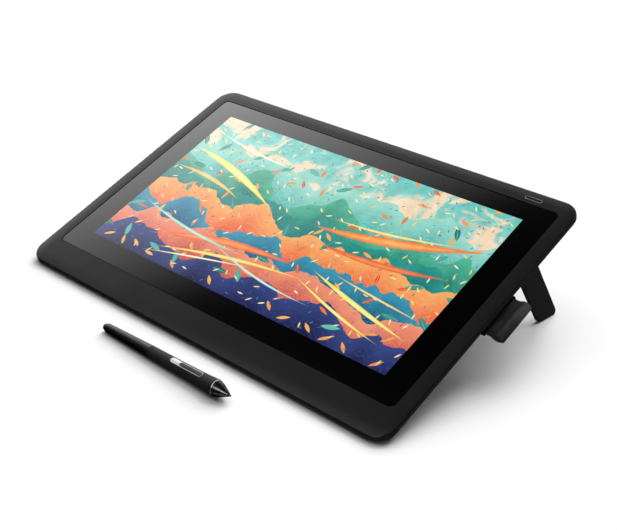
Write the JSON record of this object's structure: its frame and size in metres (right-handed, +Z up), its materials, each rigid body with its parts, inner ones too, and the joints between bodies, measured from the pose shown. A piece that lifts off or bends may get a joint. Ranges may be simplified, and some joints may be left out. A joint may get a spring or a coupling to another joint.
{
  "type": "pen display tablet",
  "caption": "Flat pen display with a crowned bezel, standing tilted on fold-out rear legs, with a power button, a fabric pen loop and its flared pen lying in front.",
  "frame": {"origin": "on the table, in the middle of the space that the tablet, its loop and the pen take up", "axes": "+X to the right along the screen's width, +Y to the back, +Z up from the table"},
  "size_m": [0.4372, 0.3082, 0.0975],
  "materials": {
    "frame_plastic": "fine matte moulded texture",
    "cover_glass": "etched anti-glare glass with a black printed border",
    "adhesive": "matte",
    "lcd": "polarising film",
    "light_guide": "diffusing film",
    "tray_steel": "plain sheet",
    "board": "solder mask",
    "shield": "plain foil sheet",
    "chassis": "pressed sheet",
    "screw_steel": "zinc plated",
    "chips": "moulded",
    "ribbon": "polyimide film",
    "socket": "nickel plated shell",
    "button_plastic": "satin",
    "light_ring": "translucent",
    "rear_plastic": "spark-eroded moulded texture",
    "foot_rubber": "matte",
    "leg_plastic": "satin moulded",
    "pin_steel": "turned",
    "loop_tape": "woven tape",
    "tab_plastic": "moulded",
    "barrel_plastic": "gloss",
    "grip_rubber": "soft touch",
    "core_plastic": "moulded",
    "silver_plastic": "silver lacquer",
    "nose_plastic": "gloss",
    "nib_plastic": "felted"
  },
  "bodies": {
    "tablet": {"front_frame": "frame_plastic", "cover_glass": "cover_glass", "glass_tape": "adhesive", "lcd_cell": "lcd", "backlight": "light_guide", "panel_tray": "tray_steel", "digitiser_board": "board", "shield_plate": "shield", "chassis_plate": "chassis", "chassis_screws": "screw_steel", "main_board": "board", "board_chips": "chips", "board_screws": "screw_steel", "panel_ribbon": "ribbon", "digitiser_ribbon": "ribbon", "port_socket": "socket", "button_ring": "light_ring", "button_board": "board", "button_switch": "socket", "rear_cover": "rear_plastic", "case_screws": "screw_steel", "front_feet": "foot_rubber", "back_feet": "foot_rubber", "left_leg_pin": "pin_steel", "right_leg_pin": "pin_steel", "pen_loop": "loop_tape", "pen_loop_tab": "tab_plastic"},
    "button": {"power_button": "button_plastic"},
    "cable_door": {"cable_cover": "rear_plastic"},
    "left_stand": {"left_leg": "leg_plastic", "left_leg_sole": "foot_rubber"},
    "right_stand": {"right_leg": "leg_plastic", "right_leg_sole": "foot_rubber"},
    "pen": {"pen_barrel": "barrel_plastic", "pen_grip": "grip_rubber", "pen_core": "core_plastic", "pen_surround": "silver_plastic", "pen_ring": "silver_plastic", "pen_nose": "nose_plastic"},
    "rocker": {"pen_rocker": "button_plastic"},
    "nib": {"pen_nib": "nib_plastic"},
    "eraser": {"pen_eraser": "button_plastic"}
  },
  "joints": [
    {"name": "right_leg_fold", "type": "hinge", "parent": "tablet", "child": "right_stand", "pos_m": [0.1752, 0.10366, 0.06334], "axis": [0, 0.9455, 0.3256], "range_deg": [0, 107]},
    {"name": "left_leg_fold", "type": "hinge", "parent": "tablet", "child": "left_stand", "pos_m": [-0.1908, 0.10366, 0.06334], "axis": [0, -0.9455, -0.3256], "range_deg": [0, 107]},
    {"name": "power_button_press", "type": "slide", "parent": "tablet", "child": "button", "axis": [0, 0.3256, -0.9455], "range_m": [0, 0.0005], "stiffness_N_per_m": 2500},
    {"name": "cable_cover_pull", "type": "slide", "parent": "tablet", "child": "cable_door", "axis": [0, 0.3256, -0.9455], "range_m": [0, 0.03]},
    {"name": "pen_lift", "type": "slide", "parent": "tablet", "child": "pen", "axis": [0, 0, 1], "range_m": [0, 0.12]},
    {"name": "pen_rocker_rock", "type": "hinge", "parent": "pen", "child": "rocker", "pos_m": [0.03988, -0.14767, 0.0113], "axis": [0.0089, 0.9781, 0.2079], "range_deg": [-2.5, 2.5], "stiffness_Nm_per_rad": 0.3},
    {"name": "pen_nib_press", "type": "slide", "parent": "pen", "child": "nib", "axis": [-0.9996, 0.014, -0.0228], "range_m": [0, 0.0004], "stiffness_N_per_m": 3000},
    {"name": "pen_eraser_press", "type": "slide", "parent": "pen", "child": "eraser", "axis": [0.9996, -0.014, 0.0228], "range_m": [0, 0.0005], "stiffness_N_per_m": 2000}
  ]
}
